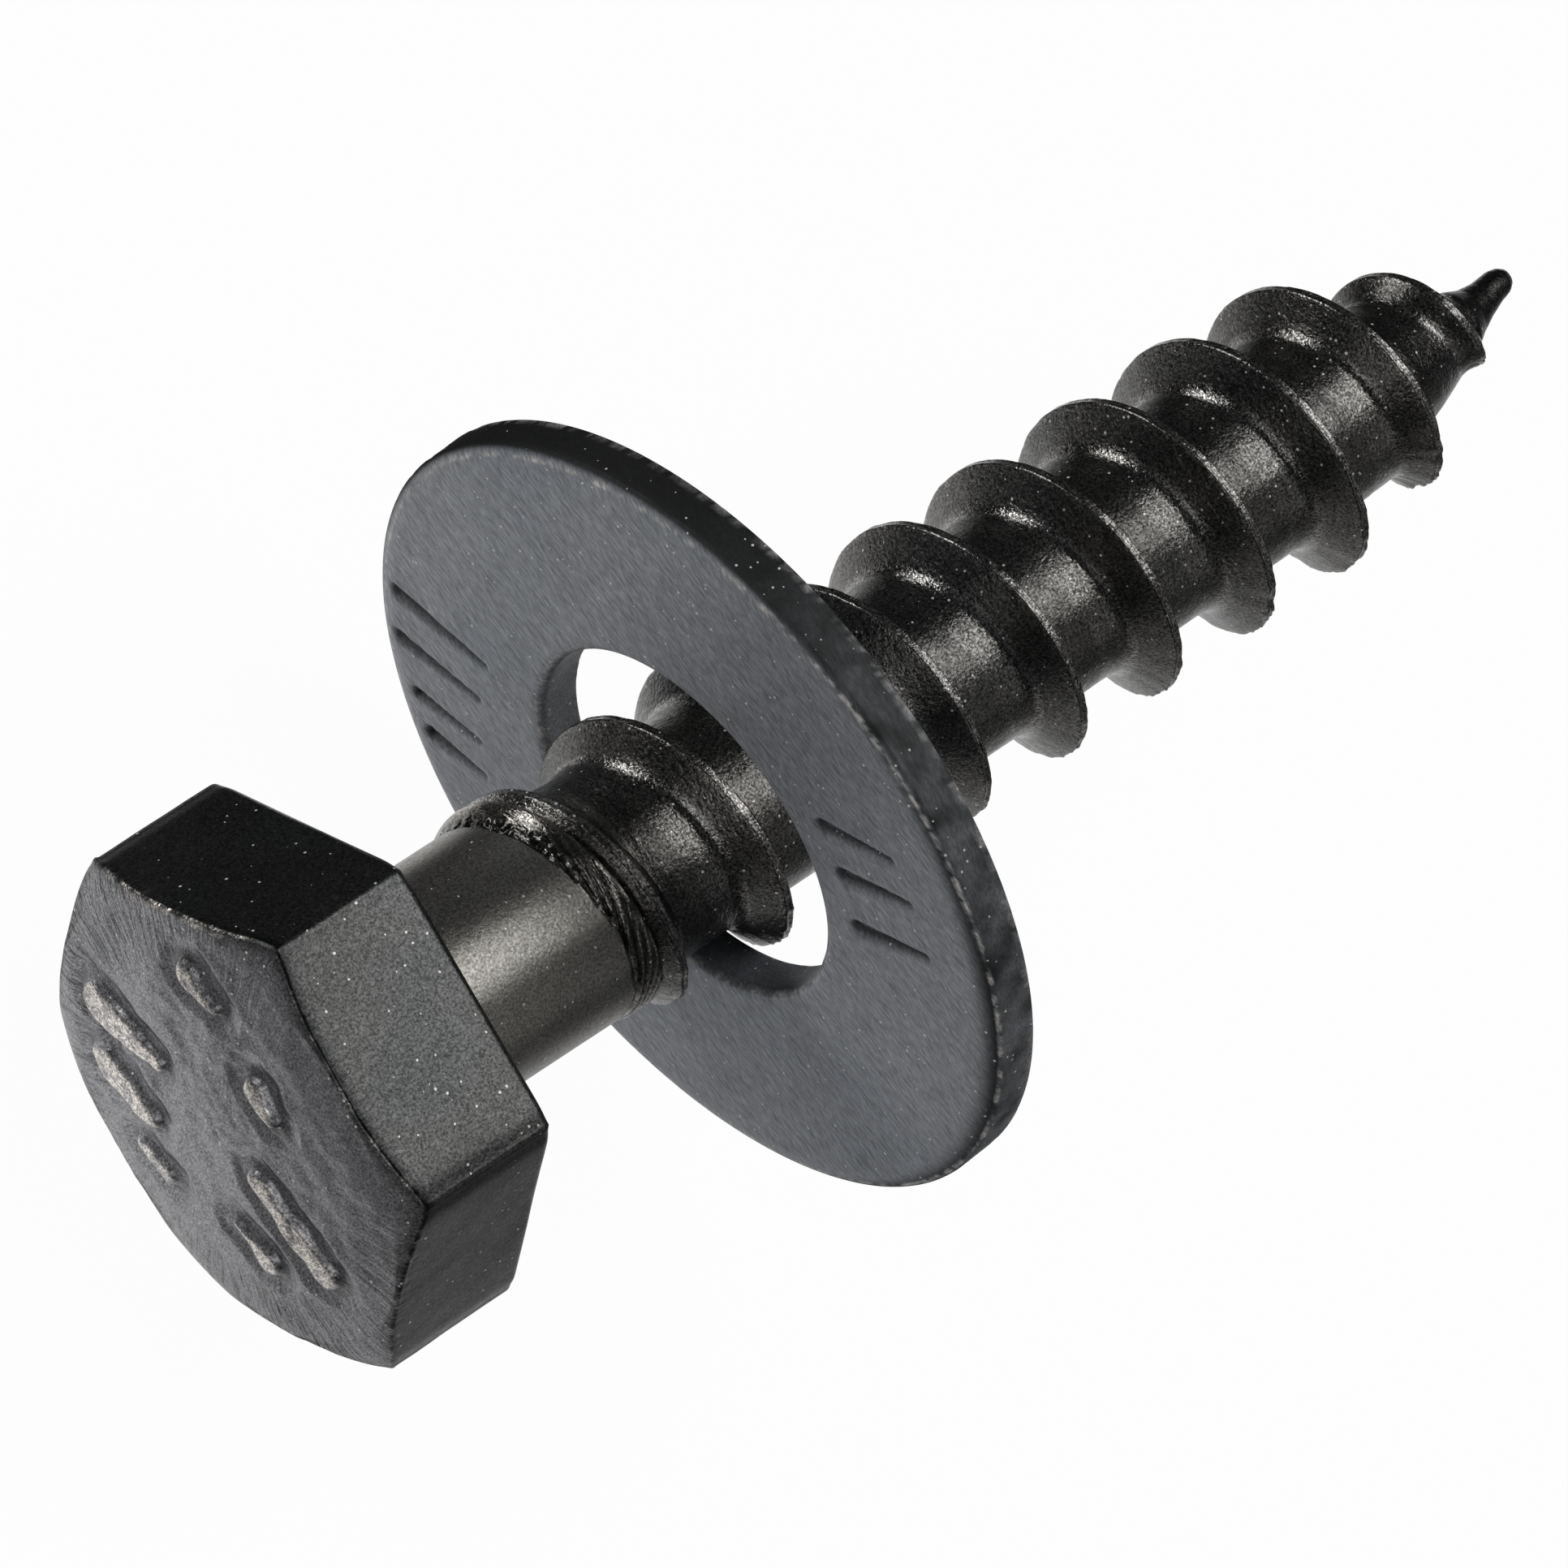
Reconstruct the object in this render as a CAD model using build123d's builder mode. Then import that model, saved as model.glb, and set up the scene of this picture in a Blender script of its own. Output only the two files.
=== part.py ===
from build123d import *
import os
from math import cos, radians, sin, sqrt

# Hex head lag screw lying at rest, with a loose flat washer hanging in its thread.
# Millimetres, +Z up. The origin is the centre of the bearing face under the head, and the
# screw points along +X with its tip raised by `lean`. In the screw's own frame +Z runs from
# the bearing face to the tip and +X is the normal of the upper hex flat.

# --- head
across_flats = 17.0
corner_rounding = 0.25        # along the six upright corners
under_edge_rounding = 0.35    # round the bearing face
neck_flare = (0.45, 0.75)     # wider than the shank at the head, and its length
chamfer_line = [(9.815, -5.33), (8.5, -6.10)]              # radius, height
dome_height = 6.68

# --- shank, nib
shank_radius = 4.17
nib_sections = [(51.0, 1.22, 0.0), (51.7, 0.96, 0.06), (52.5, 0.70, 0.20), (53.4, 0.50, 0.34)]
nib_bend_angle = -90.0        # the side, about the axis, that the nib bends towards

# --- thread: the core's outline and the crest's, each at (radius, height)
pitch = 4.5
thread_start_angle = -96.5    # where the crest begins, about the axis
core_line = [(4.17, 8.7), (3.74, 9.9), (3.52, 44.0), (1.22, 51.0)]
crest_line = [(3.95, 8.0), (4.45, 9.2), (4.74, 10.4), (4.92, 12.6), (5.02, 15.0), (5.10, 20.0), (5.14, 41.5),
              (4.98, 43.9), (4.08, 46.6), (3.42, 48.2), (1.45, 50.7), (1.00, 51.0)]
crest_half_width = 0.17
head_flank_width = 1.22       # the long hollow flank on the head side
tip_flank_width = 0.60        # the steep flank on the tip side
hollow_middle = (0.50, 0.26)  # share of the flank's width and of its height
steep_middle = (0.55, 0.40)
ridge_embed = 0.35             # of the ridge's foot in the core
least_ridge = 0.25            # height of the ridge where it runs out, sunk in the core
sections_per_turn = 9

# --- washer
washer_outer_radius = 14.75
washer_hole_radius = 6.70
washer_thickness = 1.78
washer_rim_chamfer = 0.32
washer_hole_chamfer = 0.22

# --- how the two lie
lean = 10.0                   # of the screw's axis above the floor
washer_lean = 11.1            # of the washer's own axis above the floor
washer_yaw = 3.8              # of the washer's own axis out of line with the screw, seen from above
washer_along = 11.80          # of the middle of its head side face, along the floor
washer_aside = 0.47           # and to the side


def along(line, height):
    """Radius at a height, straight between the points of a line."""
    for (r_low, low), (r_high, high) in zip(line, line[1:]):
        if height <= high:
            share = max(0.0, (height - low) / (high - low))
            return r_low + share * (r_high - r_low)
    return line[-1][0]


rise, run = sin(radians(lean)), cos(radians(lean))
screw_plane = Plane(origin=(0, 0, 0), x_dir=(-rise, 0, run), z_dir=(run, 0, rise))
screw_axis = Axis((0, 0, 0), screw_plane.z_dir)
corner_radius = across_flats / sqrt(3)
floor = -(across_flats / 2 * run - chamfer_line[-1][1] * rise)

axial_plane = screw_plane.moved(Rotation(90, 0, 0))
thread_start, thread_end = crest_line[0][1], crest_line[-1][1]
section_count = round((thread_end - thread_start) / pitch * sections_per_turn)

with BuildPart() as lag_screw:
    # head: a hexagon trimmed by the turned outline of chamfer and dome
    with BuildSketch(screw_plane):
        RegularPolygon(corner_radius, 6, rotation=30)
    extrude(amount=-dome_height)
    fillet(lag_screw.edges().filter_by(screw_axis), corner_rounding)
    with BuildSketch(axial_plane):
        with BuildLine():
            outer = (corner_radius + 1, chamfer_line[0][1] + (corner_radius + 1 - chamfer_line[0][0]) * 0.585)
            Polyline((0, -dome_height), (0, 0), (outer[0], 0), outer, chamfer_line[-1])
            TangentArc((0, -dome_height), chamfer_line[-1], tangent=(1, 0))
        make_face()
    revolve(axis=screw_axis, mode=Mode.INTERSECT)
    fillet(lag_screw.faces().sort_by(screw_axis)[-1].edges(), under_edge_rounding)

    # shank, flaring into the head, and the core of the thread
    with BuildSketch(axial_plane):
        with BuildLine():
            neck = shank_radius + neck_flare[0]
            Polyline((0, -1), (neck, -1), (neck, 0), (shank_radius, neck_flare[1]), *core_line,
                     (0, core_line[-1][1]), close=True)
        make_face()
    revolve(axis=screw_axis)

    # crooked nib with a rounded end
    nib_plane = screw_plane.moved(Rotation(0, 0, nib_bend_angle))
    for height, radius, bend in nib_sections:
        with BuildSketch(nib_plane.offset(height)):
            with Locations((bend, 0)):
                Circle(radius)
    loft()
    nib_end = nib_sections[-1]
    with Locations(nib_plane.offset(nib_end[0]).location * Pos(nib_end[2], 0, 0)):
        Sphere(nib_end[1])

    # thread: the ridge's outline stands in planes through the axis, turned about it with the helix
    for station in range(section_count + 1):
        height = thread_start + (thread_end - thread_start) * station / section_count
        crest = along(crest_line, height)
        root = min(along(core_line, max(height, core_line[1][1])), crest - least_ridge)
        foot = root - ridge_embed
        head_foot = height - crest_half_width - head_flank_width
        tip_foot = height + crest_half_width + tip_flank_width
        hollow = (root + hollow_middle[1] * (crest - root), head_foot + hollow_middle[0] * head_flank_width)
        steep = (root + steep_middle[1] * (crest - root), tip_foot - steep_middle[0] * tip_flank_width)
        turned = Rotation(0, 0, thread_start_angle + 360 * (height - thread_start) / pitch)
        with BuildSketch(screw_plane.moved(turned * Rotation(90, 0, 0))):
            with BuildLine():
                Polyline((foot, head_foot), (root, head_foot), hollow, (crest, height - crest_half_width),
                         (crest, height + crest_half_width), steep, (root, tip_foot), (foot, tip_foot),
                         close=True)
            make_face()
    loft()

# washer: its head side face looks back at the head, its rim stands on the floor
tip_up = sin(radians(washer_lean))
washer_axis = (cos(radians(washer_lean)) * cos(radians(washer_yaw)),
               cos(radians(washer_lean)) * sin(radians(washer_yaw)), tip_up)
washer_centre_height = (floor + washer_outer_radius * sqrt(1 - tip_up**2) - washer_rim_chamfer * tip_up)
with BuildPart() as washer:
    with BuildSketch(Plane(origin=(washer_along, washer_aside, washer_centre_height), z_dir=washer_axis)):
        Circle(washer_outer_radius)
        Circle(washer_hole_radius, mode=Mode.SUBTRACT)
    extrude(amount=washer_thickness)
    chamfer(washer.edges().filter_by(GeomType.CIRCLE).group_by(SortBy.RADIUS)[0], washer_hole_chamfer)
    chamfer(washer.edges().filter_by(GeomType.CIRCLE).group_by(SortBy.RADIUS)[-1], washer_rim_chamfer)

os.makedirs("parts", exist_ok=True)
lag_screw.part.label = "lag_screw"
export_step(lag_screw.part, "parts/lag_screw.step")
washer.part.label = "washer"
export_step(washer.part, "parts/washer.step")
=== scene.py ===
from math import cos, radians, sin

import bpy
import numpy as np
from mathutils import Matrix, Vector


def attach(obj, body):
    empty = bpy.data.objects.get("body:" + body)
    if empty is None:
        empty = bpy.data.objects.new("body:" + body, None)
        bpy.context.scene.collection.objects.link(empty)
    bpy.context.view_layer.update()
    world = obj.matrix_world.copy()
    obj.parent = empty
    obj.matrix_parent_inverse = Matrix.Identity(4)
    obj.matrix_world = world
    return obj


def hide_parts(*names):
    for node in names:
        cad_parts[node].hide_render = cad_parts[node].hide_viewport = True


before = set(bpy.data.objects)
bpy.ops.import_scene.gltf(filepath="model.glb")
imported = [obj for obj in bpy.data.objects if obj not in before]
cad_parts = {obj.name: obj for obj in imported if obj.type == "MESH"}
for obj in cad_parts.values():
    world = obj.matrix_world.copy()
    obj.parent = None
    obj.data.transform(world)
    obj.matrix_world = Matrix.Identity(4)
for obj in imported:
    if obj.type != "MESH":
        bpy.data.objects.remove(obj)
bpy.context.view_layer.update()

# Black hex head lag screw with a loose flat washer, lying on a pale floor.
# Lengths are millimetres in the screw's own frame until place() turns them to metres: the
# bearing face under the head is at height 0, the tip is at positive height, angle 0 is the
# normal of the upper hex flat. Calls of noise() and layered() give the cell's size first and
# then the seed.

# ---------------------------------------------------------------- sizes
MM = 0.001
LEAN = radians(10.0)                                  # of the screw's axis above the floor

# head
ACROSS_FLATS = 17.0
CORNER_LOSS, CORNER_SPREAD = 0.12, 0.034              # of the six upright corners, the spread in radians
DOME_RADIUS, DOME_EDGE, DOME_TOP = 8.5, -6.10, -6.68
DOME_RINGS_TO = 8.36
CHAMFER_SLOPE, CHAMFER_BLEND = 0.585, (7.8, 9.2)      # the slope grows to the chamfer's between these radii
END_FROM, END_TO = -5.2, -5.9                         # heights between which the side turns to the head's end
EDGE_ROLL = 0.22                                      # worn roll from the chamfer to the flats
UNDER_ROLL, UNDER_START = 0.34, -0.36                 # roll round the bearing face, and where it starts
BEARING_FACE = -0.01
NECK_RADIUS, NECK_REACH, NECK_LENGTH = 4.75, 0.62, 0.80

# shank and thread, its lines as (radius, height)
SHANK = 4.17
SHANK_FROM, SHANK_TO = 0.45, 10.3
PITCH = 4.5
THREAD_START, THREAD_START_ANGLE = 8.0, -96.5         # one height of the crest, and its side in degrees
CORE_LINE = [(4.17, 8.0), (4.15, 8.7), (3.76, 9.8), (3.70, 12.0), (3.62, 30.0), (3.54, 41.0), (3.34, 44.8),
             (2.20, 48.4), (1.48, 50.3), (1.15, 51.0), (0.55, 51.8), (0.20, 52.6)]
FIRST_CORE, FIRST_CORE_TO = 3.74, 9.8                 # the core's radius inside the shank, up to this height
CREST_LINE = [(3.70, 6.4), (4.10, 7.2), (4.52, 7.8), (4.62, 8.6), (4.72, 10.4), (4.91, 12.6), (5.01, 15.0),
              (5.09, 20.0), (5.13, 41.5), (4.97, 43.9), (4.07, 46.6), (3.42, 48.2), (2.70, 49.4),
              (1.80, 50.5), (1.10, 51.2), (0.30, 52.0)]
CREST_HALF, HEAD_FLANK, TIP_FLANK = 0.15, 1.28, 0.66  # widths along the axis
STEEP_POWER = 1.35                                    # how hollow the flank on the tip side is
FILLET_AT, FILLET = 0.32, 0.19                        # of the root fillet, shares of HEAD_FLANK
FILLET_LOW = (FILLET_AT**2 + FILLET**2) ** 0.5 - FILLET_AT
FILLET_HIGH = ((1 - FILLET_AT)**2 + FILLET**2) ** 0.5 + 1 - FILLET_AT

# nib: (radius, height), and (how far its middle has drifted sideways, height)
NIB_FROM, NIB_LENGTH, NIB_END = 50.2, 3.68, 53.89
NIB_LINE = [(1.38, 50.2), (1.22, 51.0), (0.92, 51.6), (0.70, 52.3), (0.61, 52.9), (0.57, 53.2), (0.50, 53.5),
            (0.36, 53.72), (0.02, 53.88)]
NIB_DRIFT = [(0.0, 50.2), (0.0, 51.0), (0.08, 51.7), (0.24, 52.5), (0.38, 53.1), (0.42, 53.9)]

# washer
WASHER_OUTER, WASHER_HOLE, WASHER_THICK = 14.71, 6.71, 1.77
WASHER_LEAN, WASHER_YAW = radians(11.1), radians(3.8)
WASHER_ALONG, WASHER_ASIDE = 11.80, 0.47              # of the middle of its head side face
WASHER_STANDS_ON, WASHER_CHAMFER = 14.75, 0.32        # radius of the rim, and its chamfer, on the floor
ROLL_OUT, ROLL_OUT_DEEP = 1.05, 0.38                  # stamped roll of the face to the rim
ROLL_IN, ROLL_IN_DEEP = 0.42, 0.36                    # and to the hole
TIP_ROLL, HOLE_ROLL = 0.12, 0.14                      # on the tip side: round the rim and round the hole

rise, run = sin(LEAN), cos(LEAN)
FLOOR = -(ACROSS_FLATS / 2 * run - DOME_EDGE * rise)
SCREW_TURN = np.array([[-rise, 0.0, run], [0.0, -1.0, 0.0], [run, 0.0, rise]])   # rows: the frame's axes


# ---------------------------------------------------------------- working tools
def line(points, where):
    """Value at a place along a chain of (value, place) points, straight between them."""
    values, places = zip(*points)
    return np.interp(where, places, values)


def step(low, high, x):
    """0 at low, 1 at high and the same beyond them, with a smooth cubic between."""
    t = np.clip((x - low) / (high - low), 0.0, 1.0)
    return t * t * (3 - 2 * t)


def bump(x, middle, half_width):
    """A smooth hump, 1 at its middle and 0 past its half width."""
    return 1 - step(0.0, half_width, np.abs(x - middle))


def lattice(ix, iy, iz, seed):
    """Repeatable numbers from 0 to 1 on whole-number places, mixed from the place by multiply and shift."""
    h = (ix * 374761393 + iy * 668265263 + iz * 2147483647 + seed * 144665) & 0xFFFFFFFF
    h = ((h ^ (h >> 13)) * 1274126177) & 0xFFFFFFFF
    return ((h ^ (h >> 16)) & 0xFFFF) / 65535.0


def noise(points, cell, seed=0):
    """Smooth noise from -1 to 1: lattice numbers one cell apart, blended by a cubic in each direction."""
    p = np.asarray(points, float) / cell
    base = np.floor(p).astype(np.int64)
    f = p - base
    f = f * f * (3 - 2 * f)
    total = 0.0
    for dx in (0, 1):
        for dy in (0, 1):
            for dz in (0, 1):
                weight = (np.where(dx, f[..., 0], 1 - f[..., 0]) * np.where(dy, f[..., 1], 1 - f[..., 1])
                          * np.where(dz, f[..., 2], 1 - f[..., 2]))
                corner = lattice(base[..., 0] + dx, base[..., 1] + dy, base[..., 2] + dz, seed)
                total = total + weight * corner
    return total * 2 - 1


def layered(points, cell, seed=0, layers=3):
    """Noise whose finer layers are half as large and half as high."""
    return sum(noise(points, cell / 2**k, seed + k) / 2**k for k in range(layers))


def around(radius, angle, height):
    """Points of the screw's frame at a radius, an angle about its axis and a height along it."""
    return np.stack([radius * np.cos(angle), radius * np.sin(angle), height + 0 * radius], axis=-1)


def side_of(angle):
    """An angle in radians as degrees from -180 to 180."""
    return np.degrees((angle + np.pi) % (2 * np.pi) - np.pi)


def lay_round(angle, other, per_radian, per_mm):
    """Where the noise of fine streaks is taken: so many cells per radian round the axis, and so many per
    millimetre of the other measure."""
    return np.stack([per_radian * np.cos(angle) + 0 * other, per_radian * np.sin(angle) + 0 * other,
                     per_mm * other], -1)


def place(points):
    """Screw frame in millimetres to the row's frame in metres."""
    return points @ SCREW_TURN * MM


def build(name, grid, faces, material, masks, poles=(), triangles=()):
    """One smooth mesh of a grid's quads, closed at its ends by triangles on single points. Each mask is a
    number per grid point, or a vector for the lay of the fine streaks."""
    points = np.concatenate([grid.reshape(-1, 3), np.array(poles, float).reshape(-1, 3)])
    mesh = bpy.data.meshes.new(name)
    mesh.from_pydata(points.tolist(), [], faces.tolist() + [list(map(int, corner)) for corner in triangles])
    mesh.update()
    mesh.polygons.foreach_set("use_smooth", np.ones(len(mesh.polygons), bool))
    for mask, numbers in masks.items():
        vector = mask == "lay"
        layer = mesh.attributes.new(mask, "FLOAT_VECTOR" if vector else "FLOAT", "POINT")
        numbers = np.broadcast_to(numbers, grid.shape[:-1] + (3,) * vector).ravel()
        numbers = np.concatenate([numbers, np.zeros(len(poles) * (3 if vector else 1))])
        layer.data.foreach_set("vector" if vector else "value", numbers.astype(np.float32))
    mesh.materials.append(material)
    piece = bpy.data.objects.new(name, mesh)
    bpy.context.scene.collection.objects.link(piece)
    return piece


def ring_faces(rings, columns):
    """Quads between neighbouring rings of a grid that closes on itself along each ring."""
    i, j = np.meshgrid(np.arange(rings - 1), np.arange(columns), indexing="ij")
    after = (j + 1) % columns
    low, high = i * columns, (i + 1) * columns
    return np.stack([low + j, low + after, high + after, high + j], -1).reshape(-1, 4)


def fan_faces(ring_start, columns, pole, flip):
    """Triangles that close a ring on one point, turned over where flip says."""
    j = np.arange(columns)
    a, b = ring_start + j, ring_start + (j + 1) % columns
    return np.stack([b, a, 0 * j + pole] if flip else [a, b, 0 * j + pole], -1)


def end_fans(rings, columns):
    """Triangles that close the first and the last ring of a grid on the two poles that follow its points."""
    size = rings * columns
    return np.concatenate([fan_faces(0, columns, size, True),
                           fan_faces(size - columns, columns, size + 1, False)])


# ---------------------------------------------------------------- finishes
BELOW, ABOVE, COLOUR = 6, 7, 2           # sockets of a Mix node's two colours, and its output of one


def linear(colour):
    """sRGB hex to linear RGBA."""
    parts = [int(colour[i:i + 2], 16) / 255 for i in (1, 3, 5)]
    return tuple(c / 12.92 if c <= 0.04045 else ((c + 0.055) / 1.055) ** 2.4 for c in parts) + (1.0,)


def add(tree, kind, sources=(), **settings):
    """Adds a node, sets its properties and named sockets, and then takes (socket, source) pairs: an output is
    linked into the socket, and a number or a colour is set on it."""
    node = tree.nodes.new(kind)
    for key, value in settings.items():
        if hasattr(node, key):
            setattr(node, key, value)
        else:
            node.inputs[key.replace("_", " ")].default_value = value
    for socket, source in sources:
        if isinstance(source, bpy.types.NodeSocket):
            tree.links.new(source, node.inputs[socket])
        else:
            node.inputs[socket].default_value = source
    return node


CLOUD_MM, COLD_CLOUD_MM = 3.846, 11.11   # clouds in the film, the plain and the cold ones
PIT_MM, MOTE_MM = 0.09, 0.32             # pits in the film, and the spacing of dust motes
MOTE_REACH, MOTE_EDGE = 0.19, 0.03       # radius of the largest mote and its soft edge, in spacings
PALE, DUST = "#919194", "#e2e0dc"
DULL_GAIN, SLICK_LOSS = 0.30, 0.22       # what "dull" adds to the roughness, and "slick" takes from it


def black_oxide(name, dark, light, tint, roughness, grain_mm, grain_depth, dust, speckle, streak_depth,
                stretch=(1, 1, 1), bare_and_sheen="#dcd5ce", deep="#1d1f1f", metallic=0.92):
    """Steel under a chemical black film: near black and satin, its grain a fine bump, with colder and warmer
    clouds in the film and specks of pale dust. The film's real grain is a few hundredths of a millimetre; it
    is drawn coarser, so that it shows. Masks on the mesh say where it is "pale", nearly black ("dark", which
    also carries painted shade), worn through the film (this mask also carries painted highlights), "streaked"
    along its "lay", burnished ("slick") and matt ("dull")."""
    material = bpy.data.materials.new(name)
    material.use_nodes = True
    tree = material.node_tree
    shader = tree.nodes["Principled BSDF"]
    mask = {key: add(tree, "ShaderNodeAttribute", attribute_name=key).outputs["Fac"]
            for key in ("pale", "dark", "bare_and_sheen", "streaked", "slick", "dull")}
    lay = add(tree, "ShaderNodeAttribute", attribute_name="lay")
    spot = add(tree, "ShaderNodeTexCoord").outputs["Object"]
    turned = add(tree, "ShaderNodeMapping", [("Vector", spot)], Rotation=(0, -LEAN, 0), Scale=stretch)

    # the film: clouds, a colder tint in places, and the masks for pale and dark
    clouds = add(tree, "ShaderNodeTexNoise", [("Vector", spot)], Scale=1 / (CLOUD_MM * MM), Detail=4.0,
                 Roughness=0.6)
    film = add(tree, "ShaderNodeMix", [("Factor", clouds.outputs["Fac"]), (BELOW, linear(dark)),
                                       (ABOVE, linear(light))], data_type="RGBA")
    cold = add(tree, "ShaderNodeTexNoise", [("Vector", spot)], Scale=1 / (COLD_CLOUD_MM * MM), Detail=2.0)
    cold_where = add(tree, "ShaderNodeMapRange", [("Value", cold.outputs["Fac"])],
                     From_Min=0.48, From_Max=0.72, To_Min=0.0, To_Max=0.35)
    tinted = add(tree, "ShaderNodeMix", [("Factor", cold_where.outputs[0]), (BELOW, film.outputs[COLOUR]),
                                         (ABOVE, linear(tint))], data_type="RGBA")
    paler = add(tree, "ShaderNodeMix", [("Factor", mask["pale"]), (BELOW, tinted.outputs[COLOUR]),
                                        (ABOVE, linear(PALE))], data_type="RGBA")
    darker = add(tree, "ShaderNodeMix", [("Factor", mask["dark"]), (BELOW, paler.outputs[COLOUR]),
                                         (ABOVE, linear(deep))], data_type="RGBA")

    # metal worn through the film, and painted highlights in the same pale colour, broken by the pits
    pits = add(tree, "ShaderNodeTexNoise", [("Vector", turned.outputs["Vector"])], Scale=1 / (PIT_MM * MM),
               Detail=2.0, Roughness=0.7)
    broken = add(tree, "ShaderNodeMapRange", [("Value", pits.outputs["Fac"])],
                 From_Min=0.38, From_Max=0.60, To_Min=0.45, To_Max=1.30)
    worn_and_sheen_where = add(tree, "ShaderNodeMath", [(0, mask["bare_and_sheen"]), (1, broken.outputs[0])],
                     operation="MULTIPLY", use_clamp=True)
    worn = add(tree, "ShaderNodeMix", [("Factor", worn_and_sheen_where.outputs[0]), (BELOW, darker.outputs[COLOUR]),
                                       (ABOVE, linear(bare_and_sheen))], data_type="RGBA")

    # the pits and the streaks shade what is there
    pitted = add(tree, "ShaderNodeMapRange", [("Value", pits.outputs["Fac"])],
                 From_Min=0.36, From_Max=0.66, To_Min=1 - speckle, To_Max=1 + speckle)
    streaks = add(tree, "ShaderNodeTexNoise", [("Vector", lay.outputs["Vector"])], Scale=1.0, Detail=3.0,
                  Roughness=0.6)
    shade = add(tree, "ShaderNodeMapRange", [("Value", streaks.outputs["Fac"])],
                From_Min=0.50, From_Max=0.64, To_Min=0.0, To_Max=0.60)
    shaded = add(tree, "ShaderNodeMath", [(0, shade.outputs[0]), (1, mask["streaked"])], operation="MULTIPLY")
    lit = add(tree, "ShaderNodeMath", [(0, 1.0), (1, shaded.outputs[0])], operation="SUBTRACT")
    level = add(tree, "ShaderNodeMath", [(0, pitted.outputs[0]), (1, lit.outputs[0])], operation="MULTIPLY")
    speckled = add(tree, "ShaderNodeVectorMath", [(0, worn.outputs[COLOUR]), ("Scale", level.outputs[0])],
                   operation="SCALE")

    # dust: a mote sits in the middle of a cell, and the cell's own random colour says how large it is
    cells = add(tree, "ShaderNodeTexVoronoi", [("Vector", spot)], Scale=1 / (MOTE_MM * MM), Randomness=1.0)
    chance = add(tree, "ShaderNodeSeparateColor", [("Color", cells.outputs["Color"])])
    reach = add(tree, "ShaderNodeMapRange", [("Value", chance.outputs[0])],
                From_Min=1 - dust, From_Max=1.0, To_Min=0.0, To_Max=MOTE_REACH)
    near = add(tree, "ShaderNodeMath", [(0, reach.outputs[0]), (1, cells.outputs["Distance"])],
               operation="SUBTRACT")
    mote = add(tree, "ShaderNodeMapRange", [("Value", near.outputs[0])],
               From_Min=0.0, From_Max=MOTE_EDGE, To_Min=0.0, To_Max=0.8)
    dusty = add(tree, "ShaderNodeMix", [("Factor", mote.outputs[0]), (BELOW, speckled.outputs[0]),
                                        (ABOVE, linear(DUST))], data_type="RGBA")
    tree.links.new(dusty.outputs[COLOUR], shader.inputs["Base Color"])
    metal = add(tree, "ShaderNodeMapRange", [("Value", mote.outputs[0])], To_Min=metallic, To_Max=0.1)
    tree.links.new(metal.outputs[0], shader.inputs["Metallic"])

    # satin by the grain, more matt where dull, less where slick
    grain = add(tree, "ShaderNodeTexNoise", [("Vector", turned.outputs["Vector"])], Scale=1 / (grain_mm * MM),
                Detail=3.0, Roughness=0.65)
    satin = add(tree, "ShaderNodeMapRange", [("Value", grain.outputs["Fac"])],
                From_Min=0.3, From_Max=0.7, To_Min=roughness - 0.07, To_Max=roughness + 0.09)
    duller = add(tree, "ShaderNodeMath", [(0, mask["dull"]), (1, DULL_GAIN), (2, satin.outputs[0])],
                 operation="MULTIPLY_ADD")
    slicker = add(tree, "ShaderNodeMath", [(0, mask["slick"]), (1, SLICK_LOSS)], operation="MULTIPLY")
    final = add(tree, "ShaderNodeMath", [(0, duller.outputs[0]), (1, slicker.outputs[0])],
                operation="SUBTRACT", use_clamp=True)
    tree.links.new(final.outputs[0], shader.inputs["Roughness"])

    combed = add(tree, "ShaderNodeBump", [("Height", streaks.outputs["Fac"]), ("Strength", mask["streaked"])],
                 Distance=streak_depth * MM)
    relief = add(tree, "ShaderNodeBump", [("Height", grain.outputs["Fac"]),
                                          ("Normal", combed.outputs["Normal"])],
                 Strength=0.9, Distance=grain_depth * MM)
    tree.links.new(relief.outputs["Normal"], shader.inputs["Normal"])
    return material


# Hot forging leaves a coarse, cold black skin on the head, with flow lines towards its rim; the raised wedges
# are rubbed to grey bare steel.
forged_black = black_oxide("black_oxide_forged_steel", "#333433", "#4d4d4c", "#3f484d", roughness=0.33,
                           grain_mm=0.16, grain_depth=0.014, dust=0.5, speckle=0.55, streak_depth=0.25)
# Drawing makes the shank smooth and even, so it takes one broad warm highlight along it.
drawn_black = black_oxide("black_oxide_drawn_shank", "#6c6a66", "#8d8b85", "#6c6c69", roughness=0.33,
                          grain_mm=0.12, grain_depth=0.011, dust=0.7, speckle=0.42, streak_depth=0.08)
# The thread's dies burnish the film and tear fine pits in it: darker and shinier, with painted highlights
# in pale grey.
rolled_black = black_oxide("black_oxide_rolled_thread", "#363533", "#676562", "#4e5152", roughness=0.24,
                           grain_mm=0.17, grain_depth=0.034, dust=0.76, speckle=0.75, streak_depth=0.08,
                           bare_and_sheen="#c9c6c2")
# The washer is stamped from sheet: a matt slate grey film with faint lines one way, and a black sheared rim;
# its dark colour also paints shade beside the rim, in the hole and in the dents.
stamped_black = black_oxide("black_oxide_stamped_washer", "#818489", "#999ca0", "#747c88", roughness=0.54,
                            grain_mm=0.22, grain_depth=0.014, dust=0.58, speckle=0.28, streak_depth=0.15,
                            stretch=(1, 0.22, 1), deep="#101211", metallic=0.4)


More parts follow.
